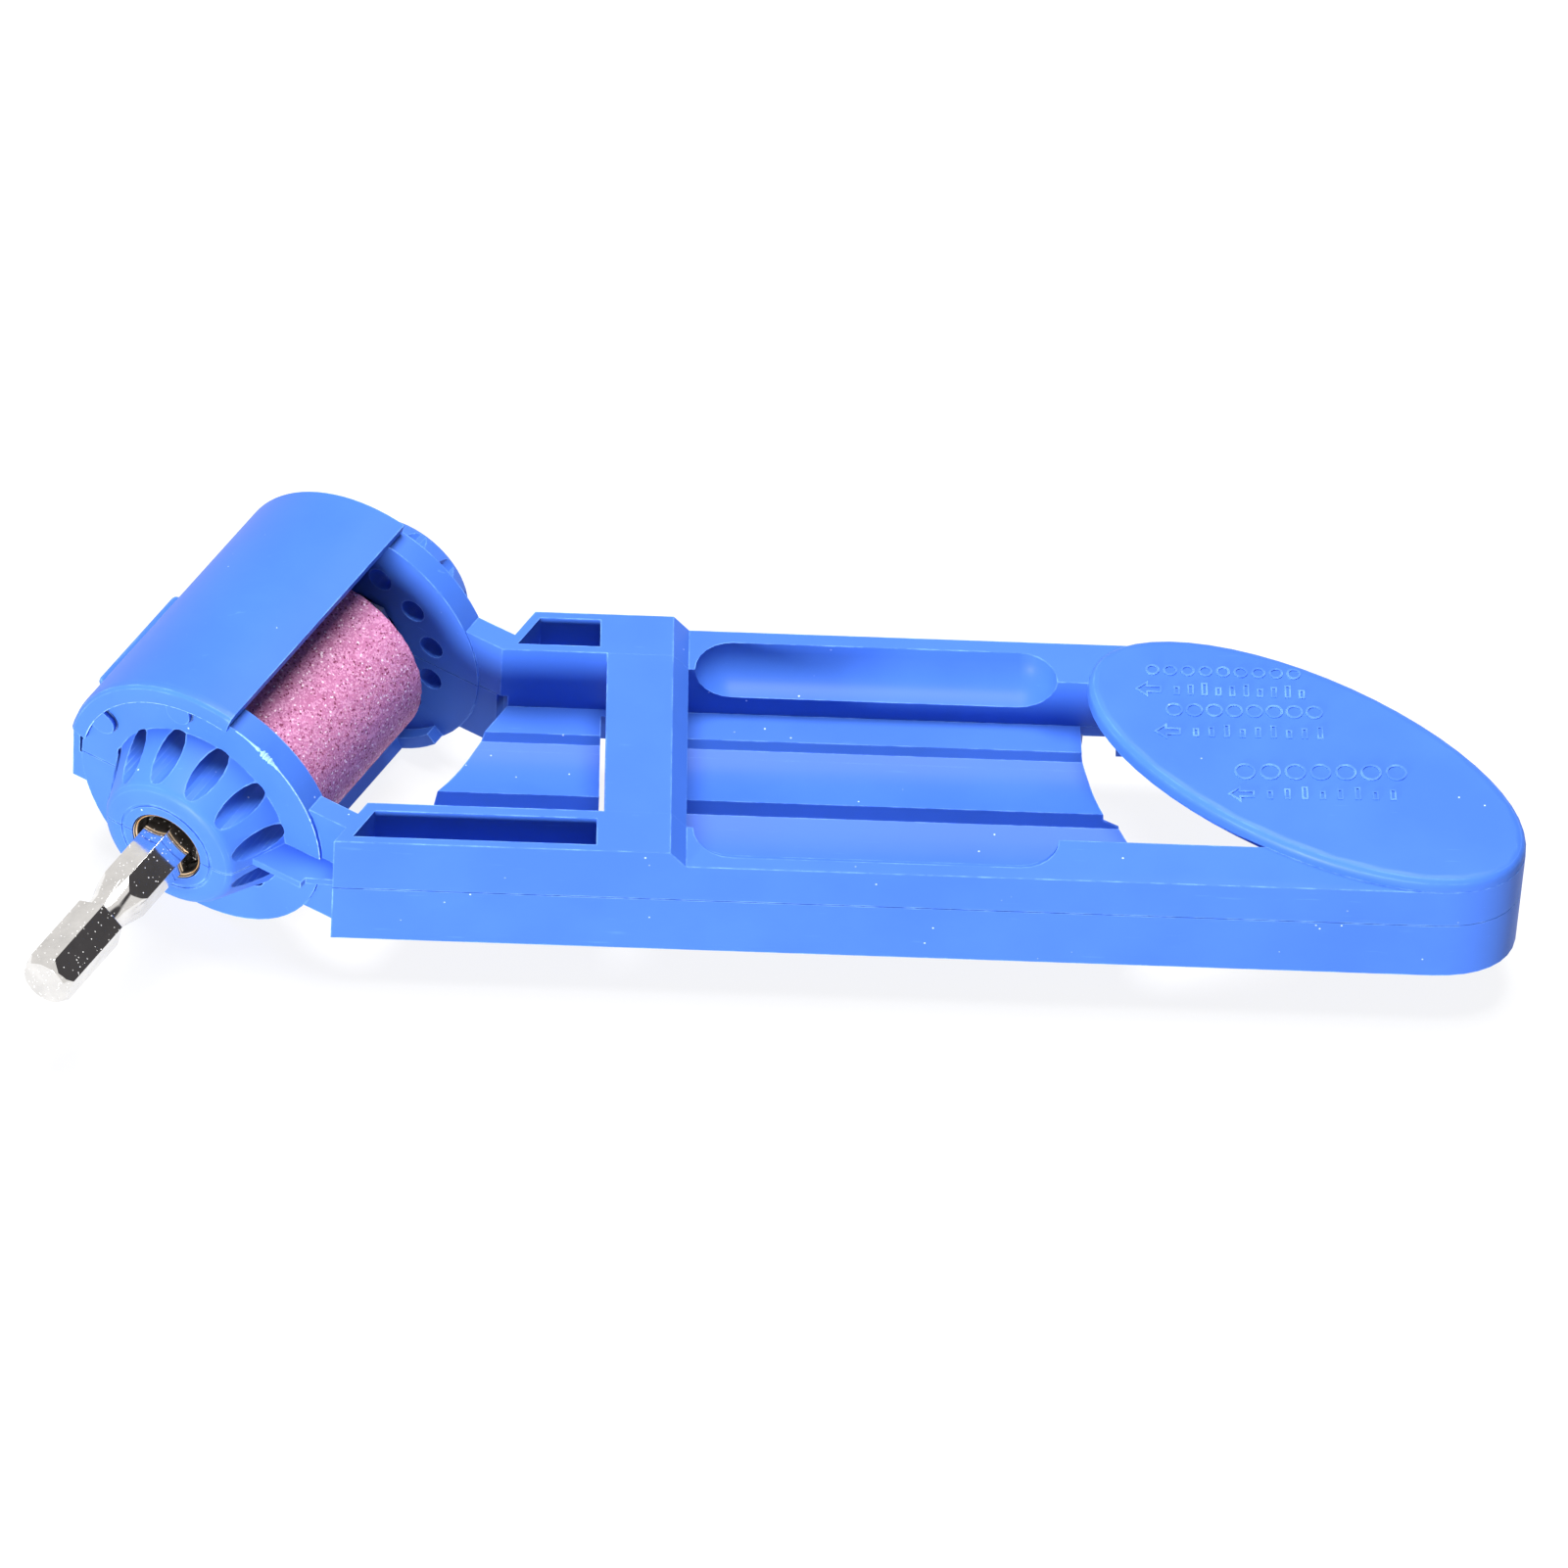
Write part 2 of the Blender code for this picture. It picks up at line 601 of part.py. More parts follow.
def web():
    """The flat web at the parting plane between the front hub and the block's corner."""
    outline = [drum_point(9.0 * MM, 36.5 * MM), drum_point(9.0 * MM, 30.6 * MM), drum_point(17.5 * MM, 30.5 * MM),
               drum_point(17.6 * MM, 31.5 * MM), drum_point(BLOCK_END + 0.4 * MM, 33.4 * MM),
               drum_point(BLOCK_END + 0.4 * MM, 36.5 * MM)]
    return slab("web", outline, -2 * MM, 1.0 * MM)


def half_space(name, low, high):
    return block(name, (-FAR, -FAR, low), (FAR, FAR, high))


def make_upper_shell():
    shell = slab("upper_shell", handle_outline(left_side_with_arms()), -2 * MM, BLOCK_TOP + 1 * MM, PARTS)
    cut(shell, top_trim())
    join(shell, web(), *end_walls("upper"))
    cut(shell, half_space("upper_seam", -FAR, 0.0))
    join(shell, make_tub())
    cut(shell, make_trough())
    join(shell, bridge_strap(), pad())
    cut(shell, floor_gap(), bridge_gap(), *pockets())
    for name, y in (("front_groove", FRONT_INNER_Y), ("back_groove", BACK_INNER_Y)):
        cut(shell, capsule(name, GROOVE_RADIUS, GROOVE_START, GROOVE_END, y, RAIL_TOP))
    cut(shell, end_cavity("upper_cavity", -1 * MM, RAIL_TOP - 1.6 * MM, WALL + HAIR))
    for i, centre in enumerate(screw_centres()):
        cut(shell, rod("pilot_%d" % i, SCREW_HOLE, -1 * MM, SCREW_TIP_Z + 0.5 * MM, centre, 12))
    return shell


# ---------------------------------------------------------------- lower shell

def trough_opening():
    """The gap in the lower shell that the tub hangs in."""
    gap = WALL + CLEARANCE
    opening = block("lower_opening", (-50 * MM, FRONT_INNER_Y - gap, -20 * MM), (190 * MM, BACK_INNER_Y + gap, 20 * MM))
    return cut(opening, left_of("lower_opening_left", BLOCK_END - 0.5 * MM), beyond_trough_end("lower_opening_end", gap))


def rail_hollows():
    """The lower rails are open underneath, behind their outer walls."""
    front = block("front_rail_hollow", (79.5 * MM, FRONT_Y + WALL, -20 * MM), (146 * MM, 30 * MM, 20 * MM))
    back = block("back_rail_hollow", (79.5 * MM, 45 * MM, -20 * MM), (132 * MM, BACK_Y - WALL, 20 * MM))
    return front, back


def block_hollows():
    """Narrow hollows in the block's lower rails, open at the parting plane."""
    result = []
    for name, near, far in (("front", FRONT_Y + WALL, 20.9 * MM), ("back", 53.9 * MM, BACK_Y - WALL)):
        outline = slanted_end(BLOCK_END + 2 * MM, near, far) + [(67 * MM, near), (67 * MM, far)]
        result.append(slab(name + "_block_hollow", outline, BOTTOM + WALL, 5 * MM))
    return result


def rail_ribs():
    """Short ribs that stiffen the thin outer walls."""
    result = []
    for x in RIB_X:
        for name, near, far in (("front", FRONT_Y + 0.5 * MM, 24 * MM), ("back", 51 * MM, BACK_Y - 0.5 * MM)):
            low, high = (x - 0.6 * MM, near, BOTTOM + 0.3 * MM), (x + 0.6 * MM, far, -0.8 * MM)
            result.append(block("%s_rib_%d" % (name, round(x / MM)), low, high))
    return result


def gutter():
    """The curved wall below the wheel, with a gusset at its upper rear corner."""
    outer = DRUM_RADIUS - HAIR
    front, rear = DRUM_FRONT + 2 * MM, DRUM_REAR - 2 * MM
    sheet = [(GUTTER_INNER, front), (outer, front), (outer, rear), (GUTTER_INNER, rear)]
    corner = [(GUTTER_INNER + HAIR, rear - 3 * MM), (outer - HAIR, rear - 3 * MM),
              (outer - HAIR, rear - 0.5 * MM), (GUTTER_INNER + HAIR, rear - 0.5 * MM)]
    return swept("gutter", sheet, 177, GUTTER_END, 24), swept("gusset", corner, GUTTER_END - 5, GUSSET_END, 5)


def lug():
    """The straight rail along the drum's far side, at the height of the axis."""
    outline = [(-LUG_REACH, -LUG_BOTTOM), (-LUG_REACH, -LUG_TOP), (-DRUM_RADIUS - CLEARANCE, -LUG_TOP),
               (-DRUM_RADIUS - CLEARANCE, 0.4 * MM), (-16.3 * MM, 0.4 * MM), (-16.3 * MM, -LUG_BOTTOM)]
    return prism("lug", outline, DRUM_FRONT + HAIR, DRUM_REAR - HAIR, "z", parent=DRUM_AXIS)


def make_lower_shell():
    shell = slab("lower_shell", handle_outline(left_side_with_arms(2.5 * MM)), BOTTOM, 2 * MM, PARTS)
    cut(shell, *rail_hollows())
    bosses = [rod("lower_boss_%d" % i, 2.45 * MM, BOTTOM + 0.05 * MM, 1 * MM, c)
              for i, c in enumerate(screw_centres()[2:4])]
    join(shell, *bosses, *rail_ribs())
    cut(shell, trough_opening(), *block_hollows())
    cut(shell, end_cavity("lower_cavity", BOTTOM + WALL, 5 * MM, 2 * WALL + CLEARANCE))
    join(shell, *end_walls("lower"), *gutter())
    cut(shell, half_space("lower_seam", -SEAM_GAP, FAR))
    join(shell, lug())
    for i, centre in enumerate(screw_centres()):
        cut(shell, rod("screw_way_%d" % i, SCREW_HOLE, -20 * MM, 2 * MM, centre, 12),
            rod("screw_seat_%d" % i, SCREW_SEAT_RADIUS, -20 * MM, BOTTOM + SCREW_SINK, centre, 16))
    return shell


# ---------------------------------------------------------------- guard

def make_guard():
    """The cover over the wheel: a curved sheet with a lip and tongues over the front end wall."""
    low = DRUM_FRONT - LIP_GAP - LIP_THICKNESS
    high = DRUM_REAR - GUARD_REAR_INSET
    fillet = 1.4 * MM
    profile = [(LIP_INNER, low), (GUARD_OUTER - fillet, low), (GUARD_OUTER - 0.4 * fillet, low + 0.13 * fillet),
               (GUARD_OUTER - 0.13 * fillet, low + 0.4 * fillet), (GUARD_OUTER, low + fillet), (GUARD_OUTER, high),
               (GUARD_INNER, high), (GUARD_INNER, low + LIP_THICKNESS), (LIP_INNER, low + LIP_THICKNESS)]
    guard = swept("wheel_guard", profile, GUARD_START, GUARD_END, 24, PARTS)
    half = TONGUE_WIDTH / 2
    for angle in TONGUE_ANGLES:
        name = "tongue_%d" % angle
        tongue = block(name, (TONGUE_TIP + half, -half, low), (LIP_INNER + 0.5 * MM, half, low + LIP_THICKNESS),
                       parent=DRUM_AXIS)
        round_end = rod(name + "_end", half, low, low + LIP_THICKNESS, (TONGUE_TIP + half, 0.0), 20,
                        parent=DRUM_AXIS)
        for piece in (tongue, round_end):
            piece.rotation_euler.z = -math.radians(angle)
        join(guard, tongue, round_end)
    return guard


# ---------------------------------------------------------------- spindle, wheel and bearings

def ring_profile(inner, outer, low, high, chamfer=0.0):
    if chamfer == 0.0:
        return [(outer, low), (outer, high), (inner, high), (inner, low)]
    return [(outer - chamfer, low), (outer, low + chamfer), (outer, high - chamfer), (outer - chamfer, high),
            (inner, high), (inner, low)]


def make_spindle():
    """Hex shank with a retaining neck, then a round shaft with a shoulder for the wheel."""
    bm = bmesh.new()
    bmesh.ops.create_cone(bm, cap_ends=True, segments=6, radius1=HEX_CORNER_RADIUS, radius2=HEX_CORNER_RADIUS,
                          depth=HEX_LENGTH)
    bmesh.ops.translate(bm, vec=(0, 0, HEX_LENGTH / 2), verts=bm.verts)
    spindle = add_object("spindle", finish_mesh(bm, "spindle"), PARTS, CHROME, DRUM_AXIS)
    first_corner = math.atan2(spindle.data.vertices[0].co.y, spindle.data.vertices[0].co.x)
    spindle.rotation_euler.z = -HEX_TURN - first_corner
    wide = 6 * MM
    neck = [(2.6 * MM, 12.0 * MM), (2.6 * MM, 14.2 * MM), (3.8 * MM, 18.1 * MM), (wide, 18.1 * MM),
            (wide, 12.0 * MM)]
    chamfer = [(2.9 * MM, -0.2 * MM), (3.85 * MM, 1.5 * MM), (wide, 1.5 * MM), (wide, -0.2 * MM)]
    cut(spindle, turned("neck", neck, CUTTERS, sides=32), turned("chamfer", chamfer, CUTTERS, sides=32))
    collar = 6.0 * MM
    shaft = [(0.0, HEX_LENGTH - 0.3 * MM), (SPINDLE_RADIUS, HEX_LENGTH - 0.3 * MM),
             (SPINDLE_RADIUS, WHEEL_START - 1.2 * MM), (collar, WHEEL_START - 1.2 * MM),
             (collar, WHEEL_START - 0.3 * MM), (SPINDLE_RADIUS, WHEEL_START - 0.3 * MM),
             (SPINDLE_RADIUS, SPINDLE_END), (0.0, SPINDLE_END)]
    return join(spindle, turned("shaft", shaft, CUTTERS, sides=32))


def make_wheel():
    end = WHEEL_START + WHEEL_LENGTH
    profile = ring_profile(BORE_RADIUS, WHEEL_RADIUS, WHEEL_START, end, 0.4 * MM)
    return smooth(turned("grinding_wheel", profile, mat=CORUNDUM, sides=64))


def make_clamp():
    """Washer and thin nut that hold the wheel against the shoulder."""
    start = WHEEL_START + WHEEL_LENGTH + CLEARANCE
    washer = smooth(turned("clamp_washer", ring_profile(BORE_RADIUS, 8.3 * MM, start, start + 1 * MM), mat=ZINC))
    nut_start = start + 1.3 * MM
    solid = [(0.0, nut_start), (7.5 * MM, nut_start), (7.5 * MM, nut_start + 2.4 * MM), (0.0, nut_start + 2.4 * MM)]
    nut = turned("clamp_nut", solid, mat=ZINC, sides=6)
    return washer, cut(nut, rod("nut_bore", BORE_RADIUS, 60 * MM, 80 * MM, (0.0, 0.0), 32, parent=DRUM_AXIS))


def make_bearing(prefix, middle):
    """A shielded ball bearing centred at a distance along the axis."""
    low, high = middle - BEARING_WIDTH / 2, middle + BEARING_WIDTH / 2
    outer = turned(prefix + "_bearing_outer_race", ring_profile(6.8 * MM, 7.8 * MM, low, high), mat=STEEL, sides=32)
    inner = turned(prefix + "_bearing_inner_race", ring_profile(BORE_RADIUS, 5.25 * MM, low, high), mat=STEEL,
                   sides=32)
    smooth(outer)
    smooth(inner)
    for side, start in (("front", low + 0.15 * MM), ("rear", high - 0.45 * MM)):
        shield = ring_profile(5.45 * MM, 6.6 * MM, start, start + 0.3 * MM)
        smooth(turned("%s_bearing_%s_shield" % (prefix, side), shield, mat=STEEL, sides=32))
    for i in range(BALL_COUNT):
        turn = 2 * math.pi * i / BALL_COUNT
        name = "%s_bearing_ball_%d" % (prefix, i + 1)
        bm = bmesh.new()
        bmesh.ops.create_uvsphere(bm, u_segments=10, v_segments=6, radius=BALL_RADIUS)
        ball = add_object(name, finish_mesh(bm, name), PARTS, STEEL, DRUM_AXIS)
        ball.location = (BALL_CIRCLE * math.cos(turn), BALL_CIRCLE * math.sin(turn), middle)
        smooth(ball, 60)


def make_bush():
    start = DRUM_FRONT - HUB_LENGTH + 0.25 * MM
    profile = ring_profile(BORE_RADIUS, HUB_BORE_RADIUS - 0.06 * MM, start, start + 2.5 * MM, 0.2 * MM)
    return smooth(turned("front_bush", profile, mat=BRONZE, sides=32))


make_upper_shell()
make_lower_shell()
make_guard()
make_spindle()
make_wheel()
make_clamp()
make_bush()
make_bearing("front", SEAT_START + SEAT_LENGTH / 2)
make_bearing("rear", DRUM_FRONT + DRUM_REAR - SEAT_START - SEAT_LENGTH / 2)
for number, place in enumerate(screw_centres(), start=1):
    make_screw(number, place)
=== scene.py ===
"""Looks for the drill bit sharpener: materials, small details, soft studio light and the camera."""
import json
import math
import random

import bmesh
import bpy
from mathutils import Matrix, Vector, noise


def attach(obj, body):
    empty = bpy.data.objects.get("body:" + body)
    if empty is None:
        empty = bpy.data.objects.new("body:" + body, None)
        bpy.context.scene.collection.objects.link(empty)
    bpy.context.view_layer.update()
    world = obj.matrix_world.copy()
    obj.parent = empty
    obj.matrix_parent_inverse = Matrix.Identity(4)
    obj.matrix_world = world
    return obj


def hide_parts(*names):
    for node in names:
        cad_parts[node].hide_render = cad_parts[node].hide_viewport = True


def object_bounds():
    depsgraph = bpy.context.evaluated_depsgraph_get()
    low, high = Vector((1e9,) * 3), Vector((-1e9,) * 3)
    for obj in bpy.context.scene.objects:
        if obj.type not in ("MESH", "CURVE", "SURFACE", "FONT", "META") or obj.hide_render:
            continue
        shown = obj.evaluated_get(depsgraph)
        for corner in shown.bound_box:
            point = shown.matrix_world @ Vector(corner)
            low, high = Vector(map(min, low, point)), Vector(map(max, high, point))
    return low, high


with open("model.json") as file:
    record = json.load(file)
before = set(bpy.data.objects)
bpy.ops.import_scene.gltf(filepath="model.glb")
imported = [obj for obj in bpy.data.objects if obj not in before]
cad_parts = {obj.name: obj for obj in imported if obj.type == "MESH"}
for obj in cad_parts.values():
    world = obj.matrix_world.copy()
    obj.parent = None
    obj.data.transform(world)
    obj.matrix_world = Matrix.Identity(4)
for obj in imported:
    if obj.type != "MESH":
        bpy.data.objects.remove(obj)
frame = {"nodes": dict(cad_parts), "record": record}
CAD_LOW, CAD_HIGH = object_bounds()

MM = 0.001
ROOT = "sharpener_body"
GUARD = "guard"
POINT_HALF_ANGLE = math.radians(59)

# The wheel's axis away from the shank, the direction across it towards the handle's front, and up.
AXIS = Vector((math.cos(POINT_HALF_ANGLE), math.sin(POINT_HALF_ANGLE), 0.0))
ACROSS = Vector((math.sin(POINT_HALF_ANGLE), -math.cos(POINT_HALF_ANGLE), 0.0))
UP = Vector((0.0, 0.0, 1.0))


PAD_TOP = 7.9 * MM
DRUM_FRONT = 35.0 * MM
DRUM_RIM = 17.45 * MM
LIP_INNER = 16.95 * MM
GUARD_OUTER = 19.4
TONGUE_ANGLES = (101.5, 152)
RIDGE_ANGLE = 159
RIDGE_STATIONS = (40.2, 40.5, 40.9, 57.1, 57.5, 57.8)
RIDGE_HEIGHTS = (0.15, 0.8, 1.0, 1.0, 0.8, 0.15)


def in_drum(across, up, along):
    """A point given across the wheel axis, up, and along the axis."""
    return across * ACROSS + up * UP + along * AXIS


def at_turn(radius, turn, along):
    """A point at a radius and an angle round the wheel axis."""
    return in_drum(radius * math.cos(turn), radius * math.sin(turn), along)


# ---------------------------------------------------------------- camera and light

CAMERA_AT = (0.03616, -1.1883, 1.3194)
CAMERA_LENS = 333.65
CAMERA_AZIMUTH = math.radians(2.52)
CAMERA_ELEVATION = math.radians(47.08)
CAMERA_ROLL = math.radians(3.85)

LIGHT_TARGET = (0.08, 0.04, 0.0)
WORLD_PLAIN = 0.17
WORLD_MIRROR = 0.88
ZENITH = (0.0, 0.0, 1.0)
DARK_SIDE = (0.863, 0.143, 0.484)
WHITE = (1.0, 1.0, 1.0)
LOW_SKY = (0.55, 0.57, 0.60)
TENT_WHITE = (1.0, 0.985, 0.965)
TENT_DARK = (0.088, 0.084, 0.088)
FLOOR_GREY = (0.14, 0.14, 0.14)
FLOOR_GLOW = 0.86
FLOOR_GAP = 0.1 * MM


def add_camera():
    data = bpy.data.cameras.new("camera")
    data.lens = CAMERA_LENS
    data.sensor_width = 36.0
    data.clip_start = 0.05
    data.clip_end = 20.0
    cam = bpy.data.objects.new("camera", data)
    bpy.context.scene.collection.objects.link(cam)
    ahead = Vector((math.sin(CAMERA_AZIMUTH) * math.cos(CAMERA_ELEVATION),
                    math.cos(CAMERA_AZIMUTH) * math.cos(CAMERA_ELEVATION), -math.sin(CAMERA_ELEVATION)))
    level = Vector((math.cos(CAMERA_AZIMUTH), -math.sin(CAMERA_AZIMUTH), 0.0))
    over = level.cross(ahead)
    right = math.cos(CAMERA_ROLL) * level + math.sin(CAMERA_ROLL) * over
    top = -math.sin(CAMERA_ROLL) * level + math.cos(CAMERA_ROLL) * over
    turn = Matrix((right, top, -ahead)).transposed()
    cam.matrix_world = Matrix.Translation(CAMERA_AT) @ turn.to_4x4()
    bpy.context.scene.camera = cam


def area_light(name, location, size, power):
    data = bpy.data.lights.new(name, "AREA")
    data.shape = "DISK"
    data.size = size
    data.energy = power
    obj = bpy.data.objects.new(name, data)
    bpy.context.scene.collection.objects.link(obj)
    obj.location = location
    aim = Vector(LIGHT_TARGET) - Vector(location)
    obj.rotation_euler = aim.to_track_quat("-Z", "Y").to_euler()


def add_world():
    """A soft tent: dim for plain surfaces, bright with a dark side for mirrors, white behind."""
    world = bpy.data.worlds.new("studio")
    bpy.context.scene.world = world
    world.use_nodes = True
    tree = world.node_tree
    tree.nodes.clear()
    link = tree.links.new
    coords = tree.nodes.new("ShaderNodeTexCoord")

    def toward(direction, low, high, low_color, high_color):
        dot = tree.nodes.new("ShaderNodeVectorMath")
        dot.operation = "DOT_PRODUCT"
        dot.inputs[1].default_value = Vector(direction).normalized()
        link(coords.outputs["Generated"], dot.inputs[0])
        ramp = tree.nodes.new("ShaderNodeValToRGB")
        stops = zip(ramp.color_ramp.elements, (low, high), (low_color, high_color))
        for element, place, color in stops:
            element.position = place
            element.color = (*color, 1)
        link(dot.outputs["Value"], ramp.inputs["Fac"])
        return ramp.outputs["Color"]

    def background(color, strength):
        node = tree.nodes.new("ShaderNodeBackground")
        if isinstance(color, tuple):
            node.inputs["Color"].default_value = (*color, 1)
        else:
            link(color, node.inputs["Color"])
        node.inputs["Strength"].default_value = strength
        return node.outputs["Background"]

    def choose(factor, a, b):
        mix = tree.nodes.new("ShaderNodeMixShader")
        link(factor, mix.inputs["Fac"])
        link(a, mix.inputs[1])
        link(b, mix.inputs[2])
        return mix.outputs["Shader"]

    path = tree.nodes.new("ShaderNodeLightPath")
    plain = background(toward(ZENITH, 0.0, 1.0, LOW_SKY, WHITE), WORLD_PLAIN)
    tent = background(toward(DARK_SIDE, 0.925, 0.965, TENT_WHITE, TENT_DARK), WORLD_MIRROR)
    lit = choose(path.outputs["Is Glossy Ray"], plain, tent)
    out = tree.nodes.new("ShaderNodeOutputWorld")
    link(choose(path.outputs["Is Camera Ray"], lit, background(WHITE, 1.0)), out.inputs["Surface"])


def add_floor():
    """A plain pale floor just under the object."""
    bm = bmesh.new()
    bmesh.ops.create_grid(bm, x_segments=1, y_segments=1, size=4.0)
    mesh = bpy.data.meshes.new("floor")
    bm.to_mesh(mesh)
    bm.free()
    floor = bpy.data.objects.new("floor", mesh)
    bpy.context.scene.collection.objects.link(floor)
    floor.location.z = CAD_LOW[2] - FLOOR_GAP
    mat = bpy.data.materials.new("floor")
    mat.use_nodes = True
    shader = mat.node_tree.nodes["Principled BSDF"]
    shader.inputs["Base Color"].default_value = (*FLOOR_GREY, 1)
    shader.inputs["Roughness"].default_value = 0.9
    shader.inputs["Specular IOR Level"].default_value = 0.1
    shader.inputs["Emission Color"].default_value = (*WHITE, 1)
    shader.inputs["Emission Strength"].default_value = FLOOR_GLOW
    mesh.materials.append(mat)


# ---------------------------------------------------------------- materials

class Nodes:
    """Short names for building a node material."""

    def __init__(self, name):
        self.mat = bpy.data.materials.new(name)
        self.mat.use_nodes = True
        self.tree = self.mat.node_tree
        self.shader = self.tree.nodes["Principled BSDF"]
        coords = self.tree.nodes.new("ShaderNodeTexCoord")
        self.place = coords.outputs["Object"]

    def link(self, a, b):
        self.tree.links.new(a, b)

    def set(self, **values):
        for name, value in values.items():
            self.shader.inputs[name.replace("_", " ")].default_value = value

    def noise(self, size_mm, detail=3.0, rough=0.5, place=None):
        node = self.tree.nodes.new("ShaderNodeTexNoise")
        node.inputs["Scale"].default_value = 1000.0 / size_mm
        node.inputs["Detail"].default_value = detail
        node.inputs["Roughness"].default_value = rough
        self.link(place or self.place, node.inputs["Vector"])
        return node.outputs["Fac"]

    def voronoi(self, size_mm, output="Distance"):
        node = self.tree.nodes.new("ShaderNodeTexVoronoi")
        node.inputs["Scale"].default_value = 1000.0 / size_mm
        self.link(self.place, node.inputs["Vector"])
        return node.outputs[output]

    def ramp(self, value, low, high, low_out=0.0, high_out=1.0):
        node = self.tree.nodes.new("ShaderNodeMapRange")
        node.clamp = True
        limits = {"From Min": low, "From Max": high, "To Min": low_out, "To Max": high_out}
        for key, number in limits.items():
            node.inputs[key].default_value = number
        self.link(value, node.inputs["Value"])
        return node.outputs["Result"]

    def math(self, operation, a, b):
        node = self.tree.nodes.new("ShaderNodeMath")
        node.operation = operation
        for socket, value in zip(node.inputs, (a, b)):
            if isinstance(value, (int, float)):
                socket.default_value = value
            else:
                self.link(value, socket)
        return node.outputs["Value"]

    def mix(self, factor, a, b):
        node = self.tree.nodes.new("ShaderNodeMix")
        node.data_type = "RGBA"
        self.link(factor, node.inputs["Factor"])
        for socket, value in ((node.inputs["A"], a), (node.inputs["B"], b)):
            if isinstance(value, tuple):
                socket.default_value = (*value, 1.0)
            else:
                self.link(value, socket)
        return node.outputs["Result"]

    def stretched(self, scale):
        node = self.tree.nodes.new("ShaderNodeMapping")
        node.inputs["Scale"].default_value = scale
        self.link(self.place, node.inputs["Vector"])
        return node.outputs["Vector"]

    def edge_wear_and_highlight(self, radius_mm):
        """Pale-edge mask, partly wear and partly painted highlight: one along sharp edges, fading to
        nothing a little way in.
        """
        soft = self.tree.nodes.new("ShaderNodeBevel")
        soft.samples = 4
        soft.inputs["Radius"].default_value = radius_mm * MM
        flat = self.tree.nodes.new("ShaderNodeNewGeometry")
        dot = self.tree.nodes.new("ShaderNodeVectorMath")
        dot.operation = "DOT_PRODUCT"
        self.link(soft.outputs["Normal"], dot.inputs[0])
        self.link(flat.outputs["True Normal"], dot.inputs[1])
        return self.ramp(dot.outputs["Value"], 0.985, 0.90)

    def bump(self, height, distance_mm, strength=1.0, under=None):
        node = self.tree.nodes.new("ShaderNodeBump")
        node.inputs["Distance"].default_value = distance_mm * MM
        node.inputs["Strength"].default_value = strength
        self.link(height, node.inputs["Height"])
        if under is not None:
            self.link(under, node.inputs["Normal"])
        return node.outputs["Normal"]


def blue_plastic(name, low, high):
    """Moulded blue plastic: cloudy gloss, a fine grain, faint scuffs and stray pale dust."""
    n = Nodes(name)
    clouds = n.noise(14.0, 4.0)
    color = n.mix(n.ramp(clouds, 0.35, 0.65), low, high)
    scuff = n.noise(1.0, 2.0, 0.6, n.stretched((0.12, 1.4, 1.4)))
    scuffs = n.ramp(scuff, 0.70, 0.78)
    color = n.mix(n.math("MULTIPLY", scuffs, 0.30), color, (0.11, 0.27, 0.86))
    # Lighter blue along sharp edges: partly edge wear, partly a painted highlight.
    edge = n.edge_wear_and_highlight(0.30)
    patchy = n.ramp(n.noise(3.0, 3.0, 0.6), 0.42, 0.62, 0.12, 0.85)
    color = n.mix(n.math("MULTIPLY", edge, patchy), color, (0.20, 0.42, 0.93))
    speck = n.ramp(n.voronoi(2.2), 0.045, 0.065, 1.0, 0.0)
    rare = n.ramp(n.noise(9.0, 2.0), 0.54, 0.58)
    dust = n.math("MULTIPLY", n.math("MULTIPLY", speck, rare), 0.8)
    color = n.mix(dust, color, (0.60, 0.74, 0.95))
    n.link(color, n.shader.inputs["Base Color"])
    dull = n.ramp(clouds, 0.3, 0.7, 0.44, 0.52)
    rough = n.math("ADD", dull, n.math("MULTIPLY", scuffs, 0.12))
    n.link(rough, n.shader.inputs["Roughness"])
    fine = n.bump(n.noise(0.22, 2.0), 0.010, 0.5)
    n.link(n.bump(n.noise(6.0, 2.0), 0.05, 0.35, fine), n.shader.inputs["Normal"])
    n.set(IOR=1.46, Specular_IOR_Level=0.12, Coat_Weight=0.05, Coat_Roughness=0.30)
    return n.mat


def pink_corundum():
    """Bonded abrasive: pink grain with white sparkles, dark pores and red specks."""
    n = Nodes("pink_corundum_detail")
    split = n.tree.nodes.new("ShaderNodeSeparateColor")
    n.link(n.voronoi(0.22, "Color"), split.inputs["Color"])
    pick = split.outputs["Red"]
    patches = n.ramp(n.noise(1.6, 4.0, 0.6), 0.32, 0.68)
    color = n.mix(patches, (0.42, 0.130, 0.27), (0.53, 0.19, 0.36))
    color = n.mix(n.ramp(pick, 0.55, 0.68), color, (0.64, 0.29, 0.48))
    color = n.mix(n.ramp(pick, 0.965, 0.975), color, (0.90, 0.70, 0.81))
    color = n.mix(n.ramp(split.outputs["Green"], 0.075, 0.06), color, (0.20, 0.030, 0.09))
    pores = n.ramp(n.noise(0.34, 3.0, 0.7), 0.36, 0.30)
    color = n.mix(n.math("MULTIPLY", pores, 0.75), color, (0.30, 0.08, 0.17))
    n.link(color, n.shader.inputs["Base Color"])
    n.link(n.ramp(pick, 0.93, 0.97, 0.85, 0.30), n.shader.inputs["Roughness"])
    lumps = n.bump(n.voronoi(0.22), 0.06, 0.7)
    n.link(n.bump(n.noise(0.25, 2.0), 0.06, 0.5, lumps), n.shader.inputs["Normal"])
    return n.mat


